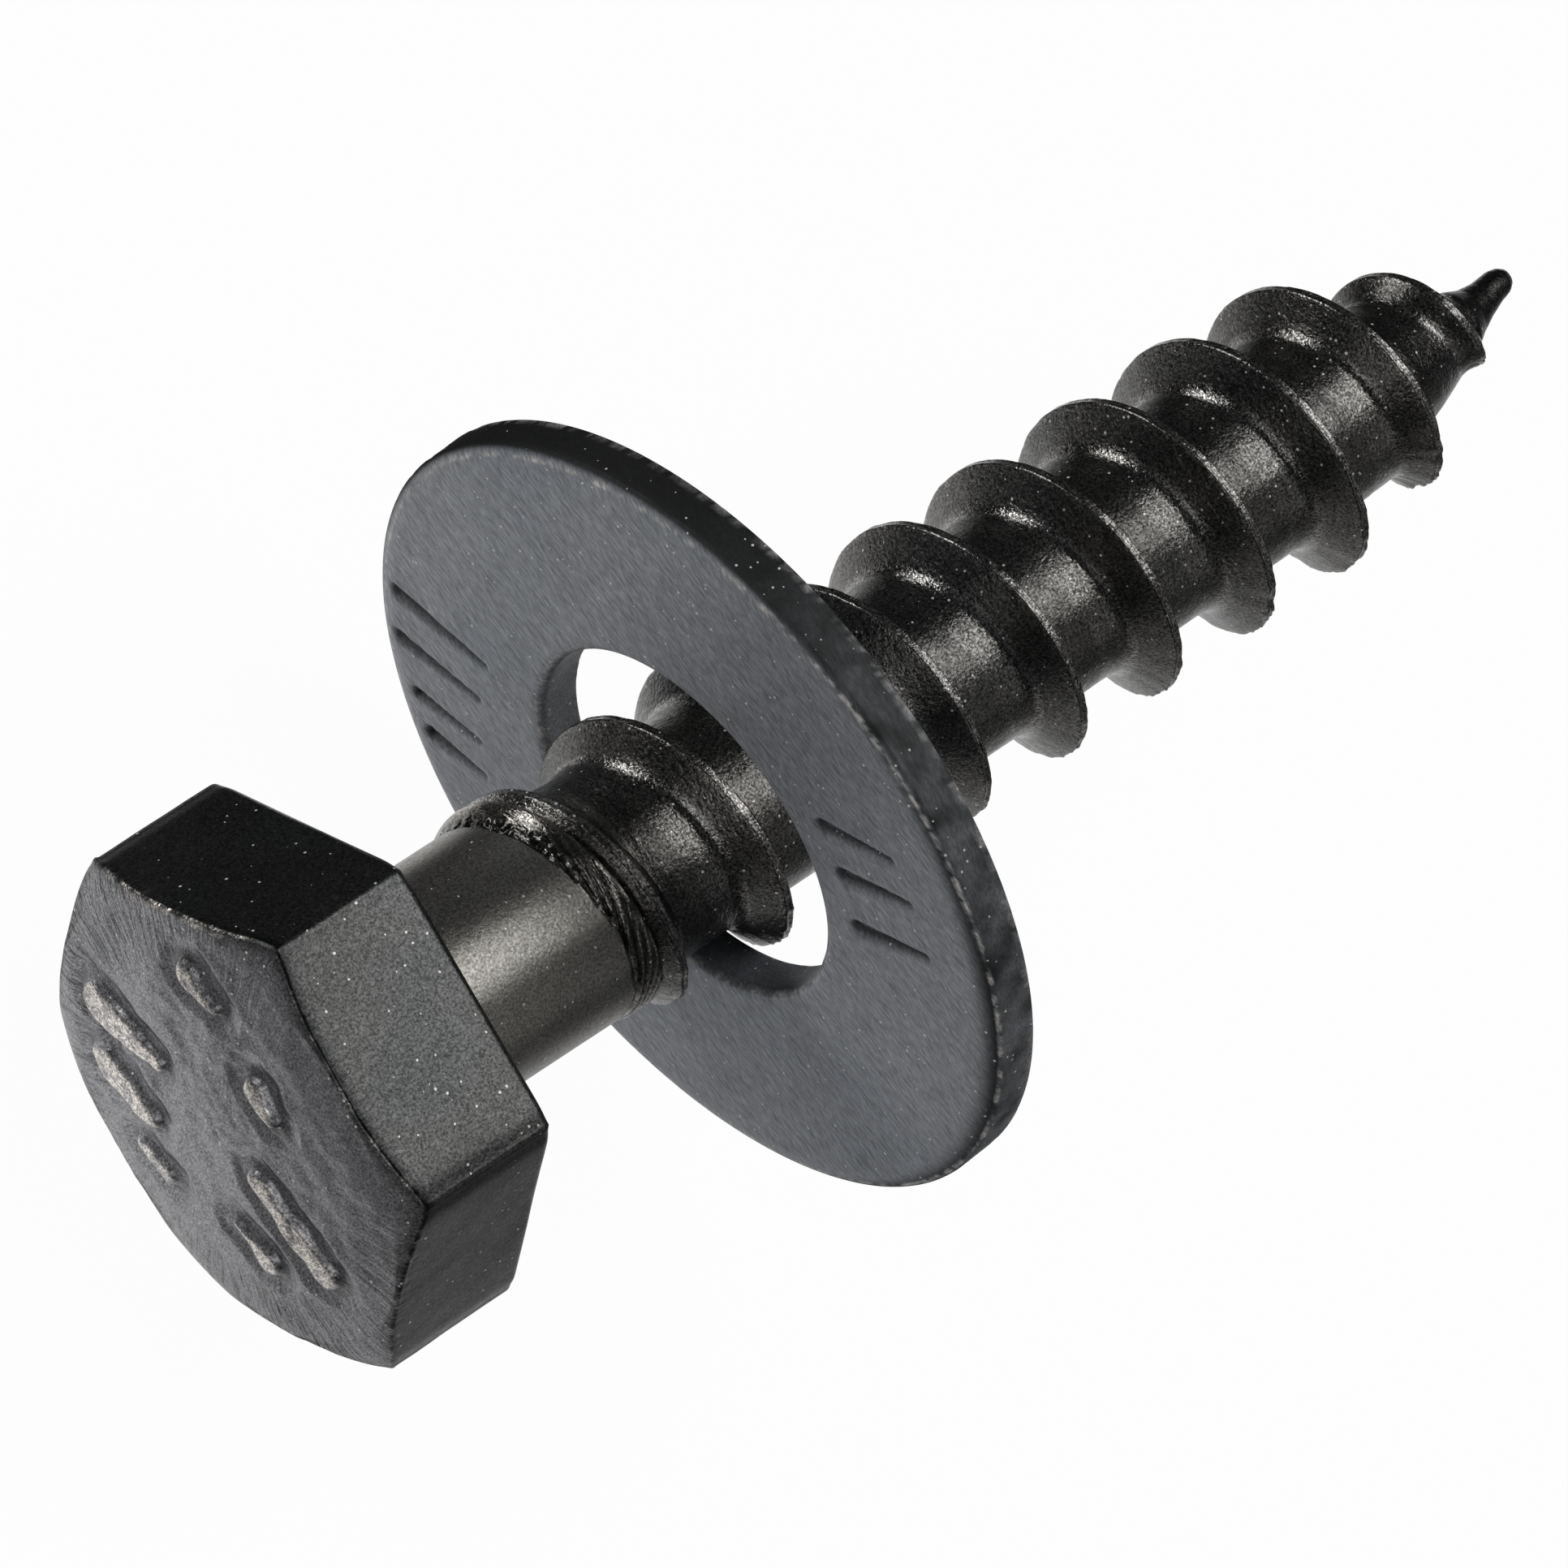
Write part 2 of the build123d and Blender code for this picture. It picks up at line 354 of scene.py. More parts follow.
# ---------------------------------------------------------------- head
# raised wedges: from one end to the other, and the half width at each end
HEAD_WEDGES = [(-3.3, -5.3, -1.5, -2.9, 0.88, 0.40), (-5.2, -3.3, -3.9, -1.2, 0.80, 0.36),
               (-5.9, -0.4, -5.2, 0.9, 0.22, 0.40), (3.6, -5.2, 4.2, -3.8, 0.46, 0.20),
               (3.9, -0.9, 3.9, 0.3, 0.46, 0.22), (0.8, 2.0, 1.2, 5.6, 0.34, 0.70),
               (-2.3, 3.2, -1.9, 4.7, 0.26, 0.42)]
WEDGE_HEIGHT, TROUGH_DEPTH = 0.13, 0.17


def hexagon(angle):
    """Distance from the axis to the hexagon's side, which is its flat's over the cosine of the turn from the
    flat, less a little near each corner."""
    turn = (angle + radians(30)) % radians(60) - radians(30)
    to_corner = radians(30) - np.abs(turn)
    return ACROSS_FLATS / 2 / np.cos(turn) - CORNER_LOSS * np.exp(-(to_corner / CORNER_SPREAD) ** 2 / 2)


def head_marks(x, y):
    """Relief, bareness and painted shade of the plain raised wedges: each has a worn top, a steep side and a
    hollow round it, darkened with painted shade, all by the distance from the wedge's middle line less its
    half width there."""
    relief, bare_and_sheen, trough_shade = np.zeros_like(x), np.zeros_like(x), np.zeros_like(x)
    spot = np.stack([x, y, 0 * x], -1)
    for number, (x1, y1, x2, y2, half_1, half_2) in enumerate(HEAD_WEDGES):
        long_x, long_y = x2 - x1, y2 - y1
        t = np.clip(((x - x1) * long_x + (y - y1) * long_y) / (long_x**2 + long_y**2), 0, 1)
        away = np.hypot(x - x1 - t * long_x, y - y1 - t * long_y) - half_1 - (half_2 - half_1) * t
        away = away + 0.16 * layered(spot + number, 0.9, 11, 2)
        relief += WEDGE_HEIGHT * (1 - step(-0.10, 0.18, away)) - TROUGH_DEPTH * bump(away, 0.45, 0.62)
        bare_and_sheen += (1 - step(-0.12, 0.0, away)) * np.clip(0.75 + 0.8 * layered(spot, 0.22, 5, 2), 0, 1)
        # painted shade in the hollow round the wedge
        trough_shade = np.maximum(trough_shade, bump(away, 0.26, 0.40))
    relief += 0.05 * layered(spot, 1.3, 6)
    return relief, np.clip(bare_and_sheen, 0, 1), trough_shade


def end_height(radius):
    """Height of the head's end: a parabola of the radius for the dome, whose slope then grows smoothly to the
    chamfer's; the height is the running sum of the slope."""
    places = np.linspace(0, 10, 1001)
    slope = 2 * (DOME_EDGE - DOME_TOP) * np.minimum(places, CHAMFER_BLEND[0]) / DOME_RADIUS**2
    slope += (CHAMFER_SLOPE - slope) * step(*CHAMFER_BLEND, places)
    half_gap = (places[1] - places[0]) / 2
    climbed = np.concatenate([[0], np.cumsum(slope[1:] + slope[:-1]) * half_gap])
    return np.interp(radius, places, DOME_TOP + climbed)


def head_piece():
    """Rings about the axis: out over the dome, down the turned chamfer to the hexagon, along the flats, round
    the under edge and in over the bearing face to the neck's flare."""
    columns = 432
    angle = np.linspace(0, 2 * np.pi, columns, endpoint=False)
    flat = hexagon(angle)
    edge_start = flat - EDGE_ROLL / 2
    low = end_height(edge_start)
    rings = [(0 * angle + radius, 0 * angle + end_height(radius))
             for radius in np.linspace(0.08, DOME_RINGS_TO, 104)]
    for share in np.linspace(0.12, 1, 12):
        spread = DOME_RINGS_TO + (edge_start - DOME_RINGS_TO) * share
        rings.append((spread, end_height(spread)))
    end_rings = len(rings) + 1
    for bend in np.radians([42, 54, 66, 78, 90]):
        rings.append((flat - EDGE_ROLL * (1 - sin(bend)), low + EDGE_ROLL * (cos(radians(30)) - cos(bend))))
    side_from = low + 0.87 * EDGE_ROLL
    for share in np.linspace(0, 1, 42)[1:]:
        rings.append((flat, side_from + (UNDER_START - side_from) * share))
    quarter = np.linspace(0, np.pi / 2, 7)[1:]
    for bend in quarter:
        rings.append((flat - UNDER_ROLL * (1 - cos(bend)),
                      0 * angle + UNDER_START + UNDER_ROLL * sin(bend)))
    for share in np.linspace(0, 1, 12)[1:]:
        rings.append((flat - UNDER_ROLL + (NECK_RADIUS - flat + UNDER_ROLL) * share,
                      0 * angle + BEARING_FACE))
    for bend in quarter:
        rings.append((0 * angle + NECK_RADIUS - NECK_REACH * sin(bend),
                      0 * angle + NECK_LENGTH * (1 - cos(bend))))
    radius, height = (np.array(part) for part in zip(*rings))
    points = around(radius, angle, height)

    # the end: wedges, a shallow dish in the middle and a slow swell
    end = step(END_FROM, END_TO, height)
    inside = end * (1 - step(7.9, 9.3, radius))
    relief, bare_and_sheen, trough_shade = head_marks(points[..., 0], points[..., 1])
    dish = 0.05 * inside * (1 - step(1.0, 6.5, radius))
    swell = 0.05 * layered(points, 3.2, 3) * inside
    height = height + 0.10 * inside - relief * inside + dish + swell

    # flow lines near the rim, strongest on two sides
    lay = lay_round(angle, radius, 30, 0.6)
    flow_sides = bump(angle, radians(240), radians(75)) + bump(angle, radians(130), radians(60))
    flow = step(5.4, 7.4, radius) * end * (0.25 + 0.75 * flow_sides)

    # the sides, a little wavy, mostly inward
    on_side = (height > low + EDGE_ROLL) & (height < -0.1)
    radius = radius + on_side * 0.02 * (layered(points, 2.5, 8) - 1)

    # the edge is a dark line, worn bright near 300 degrees
    upper = bump(angle, radians(300), radians(38))
    edge_dark = 0.9 * bump(height, low + 0.16, 0.42) * (radius > 8.3) * (1 - 0.5 * upper)
    edge = bump(height, low + 0.08, 0.15) * (radius > 8.35)
    worn_edge = edge * np.clip(0.15 + 0.45 * upper + 0.9 * layered(points, 0.35, 31), 0, 1)
    on_end = (np.arange(len(rings)) < end_rings)[:, None]
    grid = around(radius, angle, height)
    poles = place(np.array([(0, 0, float(height[0].mean())), (0, 0, 0.6)]))
    # the hollows round the wedges are darkened with painted shade
    return build("screw_head", place(grid), ring_faces(len(rings), columns)[:, ::-1], forged_black,
                 {"bare_and_sheen": np.maximum(bare_and_sheen * inside, (0.3 + 0.5 * upper) * worn_edge),
                  "dark": np.maximum(edge_dark, 0.42 * trough_shade * inside), "pale": 0.85 * on_end,
                  "streaked": flow, "lay": lay},
                 poles, end_fans(len(rings), columns))


# ---------------------------------------------------------------- shank with the thread's run-out
LAP_WIDTH = 0.27


def shank_piece():
    """Rings about the axis from the neck to under the first turn. The radius is the shank's, lifted by fine
    parallel laps and a fold behind the first crest, broken by crumbs, and let down in a shoulder to the
    thread's core."""
    columns = 468
    angle = np.linspace(0, 2 * np.pi, columns, endpoint=False)
    height = np.concatenate([np.linspace(SHANK_FROM, 5.6, 34), np.linspace(5.65, SHANK_TO, 112)])
    spread, high = np.meshgrid(angle, height)
    side = side_of(spread)
    on_shank = around(0 * spread + SHANK, spread, high)

    # where the rolling begins and where the core begins: both climb round the shank
    first_step = 6.35 + 1.75 * step(-110, 70, side) + 0.10 * noise(on_shank, 1.1, 2)
    shoulder = 8.55 + 0.85 * step(-100, 70, side)
    past = step(first_step - 0.03, first_step + 0.05, high)
    trench = bump(high, first_step + 0.12, 0.16)
    torn = past * (1 - step(shoulder + 0.2, shoulder + 0.9, high))

    # the fold lies along the helix, just behind the crest
    behind_crest = high - (THREAD_START + PITCH * (side - THREAD_START_ANGLE) / 360)
    fold = (step(-1.50, -0.78, behind_crest) * (1 - step(-0.72, -0.42, behind_crest))
            * step(-165, -115, side) * (1 - step(0, 70, side)))

    # laps: rounded ridges one LAP_WIDTH apart with sharp valleys; crumbs: the root of noise, with sharp pits
    lap_where = (step(-65, 0, side) * (1 - step(125, 165, side)) * past
                 * (1 - step(shoulder + 0.35, shoulder + 0.8, high)))
    wobble = 0.10 * noise(on_shank, 1.6, 6) + 0.004 * (side + 60)
    lap_wave = np.abs(np.sin(np.pi * (high + wobble) / LAP_WIDTH))
    laps = lap_where * (0.15 * np.sqrt(lap_wave) - 0.09)
    crumb_where = bump(side, -62, 85) * past * (1 - step(shoulder - 0.15, shoulder + 0.5, high))
    crumb = 0.17 * np.sqrt(np.abs(layered(on_shank, 0.55, 9, 3))) - 0.12
    crumbs = crumb_where * (1 - step(0.05, 0.45, fold)) * crumb

    radius = SHANK - 0.43 * step(shoulder, shoulder + 0.85, high)
    radius = radius + 0.035 * past - 0.10 * trench + laps * (1 - fold) + crumbs + 0.36 * fold
    radius = radius + 0.006 * layered(on_shank, 1.5, 4) - 0.06 * (1 - step(SHANK_FROM, 0.6, high))
    radius = radius - 0.35 * step(10.0, SHANK_TO, high)
    # painted highlights: the worn metal's pale colour lightens the fold's top on one side and the crests of
    # the laps
    painted_glints = np.maximum(0.35 * fold * bump(side, -85, 60), 0.26 * lap_where * step(0.6, 0.95, lap_wave))
    lay = lay_round(spread, high, 6, 9)
    poles = place(np.array([(0, 0, SHANK_FROM), (0, 0, SHANK_TO)]))
    grid = around(radius, spread, high)
    return build("screw_shank", place(grid), ring_faces(len(height), columns), drawn_black,
                 {"dark": 0.45 * past + 0.40 * torn * (1 - fold), "slick": 0.4 * past + 0.5 * torn,
                  "bare_and_sheen": painted_glints, "streaked": 0.5 * past, "lay": lay},
                 poles, end_fans(len(height), columns))


# ---------------------------------------------------------------- thread
def thread_piece():
    """One strip wound along the helix, a pitch wide, each turn sharing its edge with the next. Across the
    strip the radius climbs the long hollow flank, crosses the narrow crest and falls down the steep flank."""
    per_turn, first, last = 144, 6.2, 51.4
    rows = int(round((last - first) / PITCH * per_turn)) + 1
    across = np.concatenate([np.linspace(-2.25, -1.5, 7), np.linspace(-1.4, -0.24, 22),
                             np.linspace(-0.18, 0.18, 11), np.linspace(0.24, 0.9, 14),
                             np.linspace(1.0, 2.15, 9)])
    centre = first + np.arange(rows) * PITCH / per_turn
    angle = np.radians(THREAD_START_ANGLE) + 2 * np.pi * (centre - THREAD_START) / PITCH
    offset, middle = np.meshgrid(across, centre)
    spread = np.broadcast_to(angle[:, None], offset.shape)
    high = middle + offset
    side = side_of(spread)
    core = np.where(high < FIRST_CORE_TO, FIRST_CORE, line(CORE_LINE, high))
    crest = line(CREST_LINE, middle)
    base_points = around(crest, spread, high)

    # nicks in the crest, most on the lower side and near the tip
    lower_side = bump(side, 75, 80)
    nicked = lower_side * (0.35 + 0.65 * step(40, 47, middle))
    nicks = np.clip(layered(around(crest, spread, 0.7 * middle), 0.55, 17), 0, 1)
    crest = crest - (0.03 + 0.16 * nicked) * nicks

    # the head side flank is a hyperbola, whose bend is the root fillet; the tip side flank is a power curve
    climb = np.clip((offset + CREST_HALF + HEAD_FLANK) / HEAD_FLANK, 0, 1) - FILLET_AT
    hollow = (np.hypot(climb, FILLET) + climb - FILLET_LOW) / (FILLET_HIGH - FILLET_LOW)
    steep = np.clip((CREST_HALF + TIP_FLANK - offset) / TIP_FLANK, 0, 1) ** STEEP_POWER
    shape = np.minimum(hollow, steep)
    radius = core + np.maximum(crest - core, 0) * shape

    # a seam along the middle of the crest, its rough edge, and a lap in the root
    on_crest = bump(offset, 0.0, 0.34)
    radius = radius - 0.03 * bump(offset, 0.0, 0.10) * (0.4 + lower_side) * (crest > core + 0.3)
    radius = radius + on_crest * 0.05 * layered(base_points, 0.22, 23, 2) * (0.25 + 1.2 * lower_side)
    lap = bump(side, 10, 75) * bump(offset, 1.55 + 0.25 * noise(base_points, 2.0, 40), 0.55)
    in_root = 0.012 * layered(base_points, 0.9, 51) + 0.02 * step(0.5, 0.6, lap)
    radius = radius + (shape < 0.02) * in_root

    # quads along the strip and between turns; fans from the first and the last turn's edge to the axis
    grid = around(radius, spread, high)
    index = np.arange(offset.size).reshape(offset.shape)
    body = np.stack([index[:-1, :-1], index[1:, :-1], index[1:, 1:], index[:-1, 1:]], -1).reshape(-1, 4)
    seam = np.stack([index[per_turn:-1, 0], index[:-per_turn - 1, -1], index[1:-per_turn, -1],
                     index[per_turn + 1:, 0]], -1)
    rim_low = np.concatenate([index[:per_turn + 1, 0][::-1], index[0, 1:]])
    rim_high = np.concatenate([index[-per_turn - 1:, -1], index[-1, ::-1][1:]])
    fans = [np.stack([rim[:-1], rim[1:], 0 * rim[1:] + index.size + n], -1)
            for n, rim in enumerate((rim_low, rim_high))]
    link = np.array([[index[per_turn, 0], index[0, -1], index.size],
                     [index[-1, 0], index[-1 - per_turn, -1], index.size + 1]])
    poles = place(np.array([(0, 0, first), (0, 0, last)]))

    # painted highlights: the worn metal's pale colour lightens the crests, the root fillets and the first
    # bulge's top
    painted_crest_glint = on_crest * (0.25 + 0.5 * np.clip(layered(base_points, 0.35, 61), 0, 1))
    in_fillet = bump(shape, 0.12, 0.20) * (offset < 0)
    first_bulge_highlight = 0.7 * bump(middle, 8.4, 1.6) * bump(side, -85, 60) * step(0.45, 0.8, shape)
    slick = np.clip(0.6 * in_fillet + 0.3 * on_crest, 0, 1)
    lay = lay_round(spread, high, 7, 8)
    return build("screw_thread", place(grid), np.concatenate([body, seam]), rolled_black,
                 {"bare_and_sheen": 0.5 * np.maximum(painted_crest_glint, np.maximum(first_bulge_highlight, 0.35 * in_fillet)),
                  "slick": np.maximum(slick, first_bulge_highlight), "streaked": 0.3, "lay": lay},
                 poles, np.concatenate(fans + [link]))


def nib_piece():
    """Rings whose middles drift sideways, from inside the last turn to the rounded crooked end."""
    rings, columns = 46, 96
    height = NIB_FROM + NIB_LENGTH * np.linspace(0, 1, rings)[:, None]
    angle = np.linspace(0, 2 * np.pi, columns, endpoint=False)[None, :]
    grid = around(line(NIB_LINE, height), angle, height + 0 * angle)
    grid[..., 1] -= line(NIB_DRIFT, height)
    grid[..., 0] += 0.02 * noise(grid, 0.6, 3)
    poles = place(np.array([(0, 0, NIB_FROM), (0, -NIB_DRIFT[-1][0], NIB_END)]))
    return build("screw_nib", place(grid), ring_faces(rings, columns), rolled_black,
                 {"dark": 0.5, "dull": 0.2}, poles, end_fans(rings, columns))


# ---------------------------------------------------------------- washer
# wedge-shaped dents: from the wide end to the point, and the half width at the wide end
WASHER_WEDGES = [(10.9, -8.3, 7.4, -5.8, 0.34), (9.4, -10.0, 6.4, -7.6, 0.34), (5.8, -12.0, 3.8, -10.4, 0.34),
                 (7.3, -11.2, 5.0, -9.3, 0.28), (-1.6, 8.5, -3.4, 11.2, 0.34), (-3.4, 7.8, -5.0, 10.6, 0.34),
                 (-5.3, 6.7, -6.9, 9.6, 0.34)]
DENT_DEPTH, DENT_BURR = 0.28, 0.03
BLACK_FROM, BLACK_TO = (-40, -10), (185, 215)         # degrees round the rim, where the black comes and goes
BETWEEN = 10                                          # a radius between the hole and the rim


def washer_piece():
    """Rings about the washer's own axis, carried round its section: head side face with rolled edges, rim,
    tip side face, hole wall. The face is dented by plain wedges."""
    columns = 576
    inner, outer, thick = WASHER_HOLE, WASHER_OUTER, WASHER_THICK
    quarter = np.linspace(0, np.pi / 2, 12)[1:]
    small = np.linspace(0, np.pi / 2, 5)[1:]

    # the section; on the tip side, rings close beside both edges keep the masks sharp
    section = [(r, 0.0) for r in np.linspace(inner + ROLL_IN, outer - ROLL_OUT, 104)]
    section += [(outer - ROLL_OUT * (1 - sin(a)), ROLL_OUT_DEEP * (1 - cos(a))) for a in quarter]
    section += [(outer, z) for z in np.linspace(ROLL_OUT_DEEP, thick - TIP_ROLL, 6)[1:]]
    section += [(outer - TIP_ROLL * (1 - cos(a)), thick - TIP_ROLL + TIP_ROLL * sin(a)) for a in small]
    section += [(outer - 0.18, thick)] + [(r, thick) for r in np.linspace(outer - 0.5, inner + 0.5, 11)]
    section += [(inner + 0.20, thick), (inner + HOLE_ROLL, thick)]
    section += [(inner + HOLE_ROLL * (1 - sin(a)), thick - HOLE_ROLL * (1 - cos(a))) for a in small]
    section += [(inner, z) for z in np.linspace(thick - HOLE_ROLL, ROLL_IN_DEEP, 5)[1:]]
    section += [(inner + ROLL_IN * (1 - cos(a)), ROLL_IN_DEEP * (1 - sin(a))) for a in quarter[:-1]]
    radius, depth = (np.array(part)[:, None] for part in zip(*section))
    angle = np.linspace(0, 2 * np.pi, columns, endpoint=False)[None, :]
    side, up = radius * np.cos(angle), radius * np.sin(angle)
    flat_points = np.stack([side, up, depth + 0 * side], -1)
    deep = flat_points[..., 2]
    on_face = ((depth < 0.02) & (radius > inner)) * np.ones_like(side)

    # the dents, the face's slow waves, and the torn rim and hole wall
    dent, dented = np.zeros_like(side), np.zeros_like(side)
    for x1, y1, x2, y2, half in WASHER_WEDGES:
        long_x, long_y = x2 - x1, y2 - y1
        t = np.clip(((side - x1) * long_x + (up - y1) * long_y) / (long_x**2 + long_y**2), 0, 1)
        away = np.hypot(side - x1 - t * long_x, up - y1 - t * long_y) - half * (0.85 - 0.6 * t)
        dent += DENT_DEPTH * (1 - step(-0.12, 0.10, away)) - DENT_BURR * bump(away, 0.28, 0.24)
        # painted shade in the dent, darkest at its walls and lighter in its middle
        painted_dent_shade = 0.85 * (1 - step(-0.06, 0.16, away)) - 0.35 * (1 - step(-0.30, -0.08, away))
        dented = np.maximum(dented, painted_dent_shade)
    wall = (np.abs(radius - outer) < 0.02) | (np.abs(radius - inner) < 0.02)
    depth = depth + on_face * (dent + 0.012 * layered(flat_points, 3.0, 71))
    radius = radius - wall * 0.035 * np.clip(layered(flat_points * [1, 1, 2.0], 0.7, 81), 0, 1)
    side, up = radius * np.cos(angle), radius * np.sin(angle)

    # stood on the floor
    axis = np.array([cos(WASHER_LEAN) * cos(WASHER_YAW), cos(WASHER_LEAN) * sin(WASHER_YAW),
                     sin(WASHER_LEAN)])
    across = np.array([-sin(WASHER_YAW), cos(WASHER_YAW), 0.0])
    rising = np.cross(axis, across)
    centre = np.array([WASHER_ALONG, WASHER_ASIDE,
                       FLOOR + WASHER_STANDS_ON * cos(WASHER_LEAN) - WASHER_CHAMFER * sin(WASHER_LEAN)])
    grid = (centre + side[..., None] * across + up[..., None] * rising + depth[..., None] * axis) * MM
    rings = len(section)
    i, j = np.meshgrid(np.arange(rings), np.arange(columns), indexing="ij")
    after, beside = (i + 1) % rings, (j + 1) % columns
    faces = np.stack([i * columns + j, after * columns + j, after * columns + beside,
                      i * columns + beside], -1)

    # worn edges: of the face to the rim, further out on the side round 140 degrees, of the tip side and of
    # the hole
    # the roll is shaped the same all round; round 140 degrees the painted shade reaches further in over it
    soft = bump(angle, radians(140), radians(95))
    along_roll = radius - outer + ROLL_OUT + deep
    outer_edge = bump(along_roll, 0.80 + 0.45 * soft, 0.17) * (radius > BETWEEN) * (deep < 1)
    tip_edge = 0.5 * bump(deep, thick, 0.25) * (radius > outer - 0.3)
    inner_edge = 0.6 * bump(radius, inner + HOLE_ROLL, 0.20) * (deep < 0.3)
    edges = (outer_edge + tip_edge + inner_edge) * np.clip(0.35 + 1.2 * layered(flat_points, 0.30, 91), 0, 1)

    # black film on the rim, mottled round 140 degrees; painted shade over the roll beside the rim,
    # reaching further in round 140 degrees, on part of the hole wall and the tip side face round the hole,
    # and in the dents
    turn = (angle + radians(90)) % radians(360) - radians(90)
    sheared = step(*np.radians(BLACK_FROM), turn) * (1 - step(*np.radians(BLACK_TO), turn))
    mottled = 0.38 + 0.35 * layered(flat_points, 0.9, 95)
    rim_black_and_shade = (sheared * step(outer - 0.25 - 0.75 * soft, outer - 0.05, radius)
                * (1 - mottled * soft * (radius > outer - 0.1)) * (deep < thick - 0.02))
    # painted shade in the hole: on its wall and the tip side face round it, less towards 0 degrees
    hole_shade = 0.3 * (deep > 0.05) * (1 - bump(turn, 0, radians(100)))
    dark = np.clip(np.where(radius < BETWEEN, hole_shade, rim_black_and_shade), 0, 1)
    dark = np.maximum(dark, dented * on_face) * (1 - np.clip(1.6 * edges, 0, 1))

    # faint lines, nearly level: five or six cells of noise a millimetre across them, about one along them
    lay = np.stack([0.9 * side - 0.25 * up, 5.5 * up + 1.5 * side, 0 * side], -1)
    return build("flat_washer", grid, faces.reshape(-1, 4), stamped_black,
                 {"bare_and_sheen": 0.7 * edges, "dark": dark, "dull": 0.3 * dark, "streaked": 0.35 * on_face,
                  "lay": lay})


for piece in (head_piece(), shank_piece(), thread_piece(), nib_piece()):
    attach(piece, "root")
    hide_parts("lag_screw")
washer = washer_piece()
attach(washer, "root")
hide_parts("washer")


# ---------------------------------------------------------------- studio
# Metres here.
FLOOR_HALF, FLOOR_BELOW, FLOOR_GREY, FLOOR_SEEN = 1.2, 0.00005, 0.85, 0.975
MIDDLE = (0.02, 0, 0)                                 # of the object, where the lamps look

# name, azimuth and elevation in degrees, distance, width, depth, watts
LAMPS = [("overhead_softbox", 5, 72, 0.50, 0.34, 0.38, 1.35), ("side_strip", 115, 4, 0.35, 0.30, 0.05, 0.55),
         ("front_fill", 190, 16, 0.45, 0.30, 0.20, 0.34), ("low_fill", -68, 32, 0.50, 0.40, 0.40, 0.16)]

CAMERA_AZIMUTH, CAMERA_ELEVATION, CAMERA_ROLL = radians(171.04), radians(50.81), radians(66.91)
CAMERA_DISTANCE, CAMERA_LOOKS_AT = 0.3335, (0.01245, 0.00024, 0.0100)
LENS_MM, SENSOR_MM = 232.9, 36.0
WORLD_COLOUR, WORLD_STRENGTH = (0.5, 0.52, 0.55, 1), 0.07


def outward(azimuth, elevation):
    """Unit vector from the object towards a lamp or the camera."""
    return Vector((cos(azimuth) * cos(elevation), sin(azimuth) * cos(elevation), sin(elevation)))


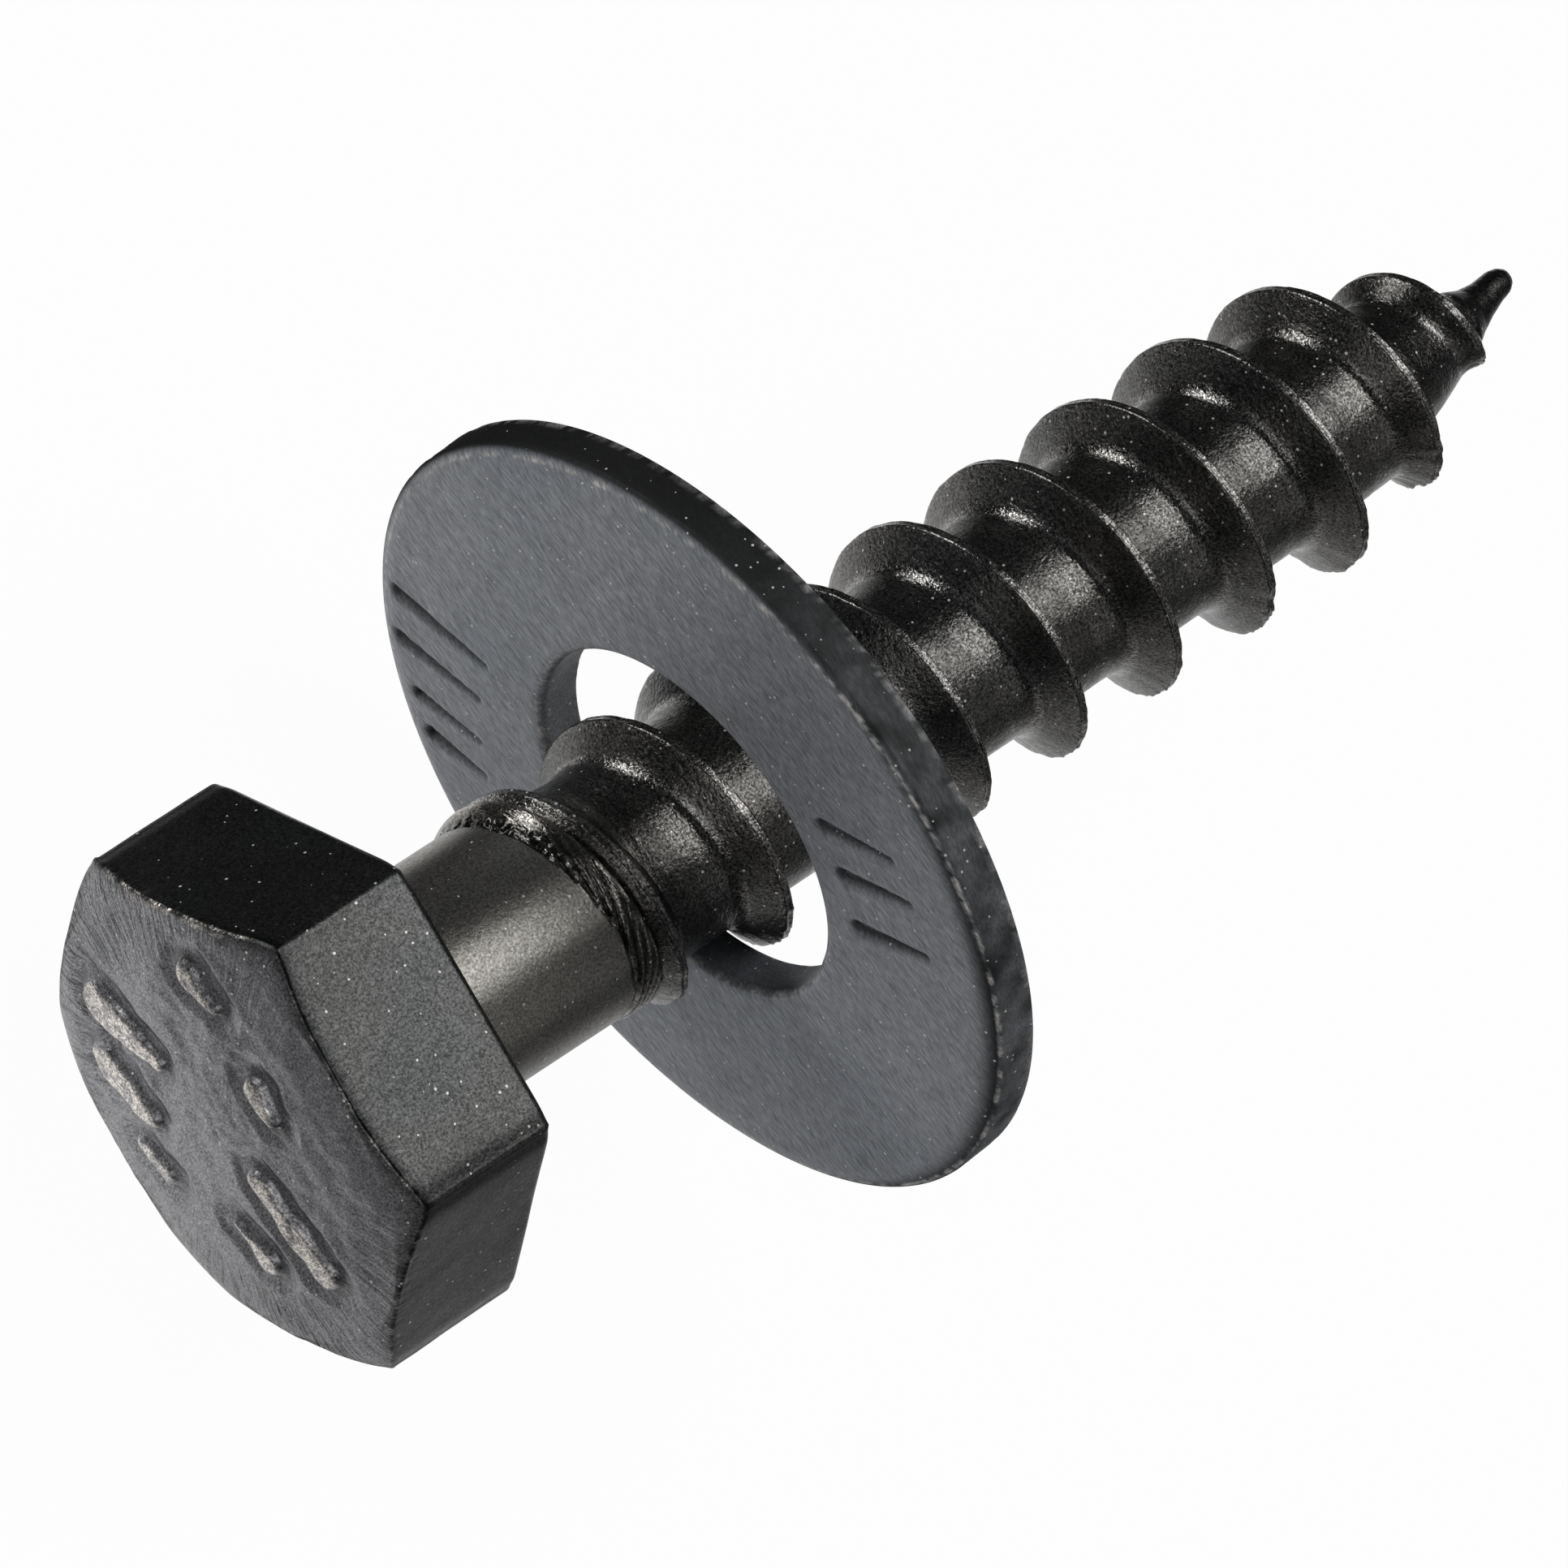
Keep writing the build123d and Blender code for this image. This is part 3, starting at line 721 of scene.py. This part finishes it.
def sweep_floor():
    """Pale floor. Seen directly it is white with the object's soft shadow; in the metal it shows as a pool of
    light in front of the head that dims outward, and a fainter one beside the tip."""
    mesh = bpy.data.meshes.new("floor")
    corners = [(-1, -1), (1, -1), (1, 1), (-1, 1)]
    mesh.from_pydata([(x * FLOOR_HALF, y * FLOOR_HALF, 0) for x, y in corners], [], [(0, 1, 2, 3)])
    floor = bpy.data.objects.new("floor", mesh)
    floor.location.z = FLOOR * MM - FLOOR_BELOW
    bpy.context.scene.collection.objects.link(floor)
    material = bpy.data.materials.new("pale_floor")
    material.use_nodes = True
    tree = material.node_tree
    tree.nodes.clear()
    paths = add(tree, "ShaderNodeLightPath")
    matt = add(tree, "ShaderNodeBsdfDiffuse", Color=(FLOOR_GREY, FLOOR_GREY, FLOOR_GREY, 1))
    white = add(tree, "ShaderNodeEmission", Color=(1, 1, 1, 1), Strength=1.0)
    seen = add(tree, "ShaderNodeMath", [(0, paths.outputs["Is Camera Ray"]), (1, FLOOR_SEEN)],
               operation="MULTIPLY")
    plain = add(tree, "ShaderNodeMixShader", [(0, seen.outputs[0]), (1, matt.outputs[0]),
                                              (2, white.outputs[0])])

    # the pool before the head: it starts at `before` along x, stops at `behind` along y, and fades forward
    where = add(tree, "ShaderNodeTexCoord")
    sides = add(tree, "ShaderNodeSeparateXYZ", [("Vector", where.outputs["Object"])])
    behind = add(tree, "ShaderNodeMapRange", [("Value", sides.outputs["Y"])], interpolation_type="SMOOTHSTEP",
                 From_Min=0.022, From_Max=0.011, To_Min=0.02, To_Max=1.0)
    fading = add(tree, "ShaderNodeMapRange", [("Value", sides.outputs["Y"])],
                 From_Min=-0.042, From_Max=0.006, To_Min=0.14, To_Max=1.0)
    before = add(tree, "ShaderNodeMapRange", [("Value", sides.outputs["X"])], interpolation_type="SMOOTHSTEP",
                 From_Min=-0.0145, From_Max=-0.0075, To_Min=0.30, To_Max=1.0)
    across = add(tree, "ShaderNodeMath", [(0, behind.outputs[0]), (1, fading.outputs[0])],
                 operation="MULTIPLY")
    head_pool = add(tree, "ShaderNodeMath", [(0, across.outputs[0]), (1, before.outputs[0])],
                    operation="MULTIPLY")

    # the pool beside the tip
    beyond = add(tree, "ShaderNodeMapRange", [("Value", sides.outputs["X"])], interpolation_type="SMOOTHSTEP",
                 From_Min=0.026, From_Max=0.038, To_Min=0.0, To_Max=0.6)
    beside = add(tree, "ShaderNodeMapRange", [("Value", sides.outputs["Y"])], interpolation_type="SMOOTHSTEP",
                 From_Min=0.031, From_Max=0.014, To_Min=0.0, To_Max=1.0)
    second = add(tree, "ShaderNodeMath", [(0, beyond.outputs[0]), (1, beside.outputs[0])],
                 operation="MULTIPLY")
    tip_pool = add(tree, "ShaderNodeMath", [(0, second.outputs[0]), (1, fading.outputs[0])],
                   operation="MULTIPLY")
    pools = add(tree, "ShaderNodeMath", [(0, head_pool.outputs[0]), (1, tip_pool.outputs[0])],
                operation="MAXIMUM")
    mirrored = add(tree, "ShaderNodeEmission", [("Strength", pools.outputs[0])], Color=(1, 1, 1, 1))
    whole = add(tree, "ShaderNodeMixShader", [(0, paths.outputs["Is Glossy Ray"]), (1, plain.outputs[0]),
                                              (2, mirrored.outputs[0])])
    add(tree, "ShaderNodeOutputMaterial", [("Surface", whole.outputs[0])])
    mesh.materials.append(material)


def lamp(name, azimuth, elevation, distance, width, depth, watts):
    """An area lamp that looks at the middle of the object."""
    data = bpy.data.lights.new(name, "AREA")
    data.shape, data.size, data.size_y, data.energy = "RECTANGLE", width, depth, watts
    away = outward(radians(azimuth), radians(elevation))
    light = bpy.data.objects.new(name, data)
    aimed = away.to_track_quat("Z", "Y").to_matrix().to_4x4()
    light.matrix_world = Matrix.Translation(away * distance + Vector(MIDDLE)) @ aimed
    bpy.context.scene.collection.objects.link(light)


def camera():
    """A long lens that looks down on the head end, rolled so that the screw runs up to the right."""
    away = outward(CAMERA_AZIMUTH, CAMERA_ELEVATION)
    level = Vector((-sin(CAMERA_AZIMUTH), cos(CAMERA_AZIMUTH), 0))
    upright = away.cross(level)
    right = level * cos(CAMERA_ROLL) + upright * sin(CAMERA_ROLL)
    top = upright * cos(CAMERA_ROLL) - level * sin(CAMERA_ROLL)
    data = bpy.data.cameras.new("camera")
    data.lens, data.sensor_width, data.clip_start = LENS_MM, SENSOR_MM, 0.01
    eye = bpy.data.objects.new("camera", data)
    turned = Matrix((right, top, away)).transposed().to_4x4()
    eye.matrix_world = Matrix.Translation(Vector(CAMERA_LOOKS_AT) + away * CAMERA_DISTANCE) @ turned
    bpy.context.scene.collection.objects.link(eye)
    bpy.context.scene.camera = eye


sweep_floor()
for settings in LAMPS:
    lamp(*settings)
camera()

world = bpy.data.worlds.new("studio")
world.use_nodes = True
backdrop = world.node_tree.nodes["Background"]
backdrop.inputs["Color"].default_value = WORLD_COLOUR
backdrop.inputs["Strength"].default_value = WORLD_STRENGTH
bpy.context.scene.world = world
bpy.context.scene.view_settings.view_transform = "Standard"
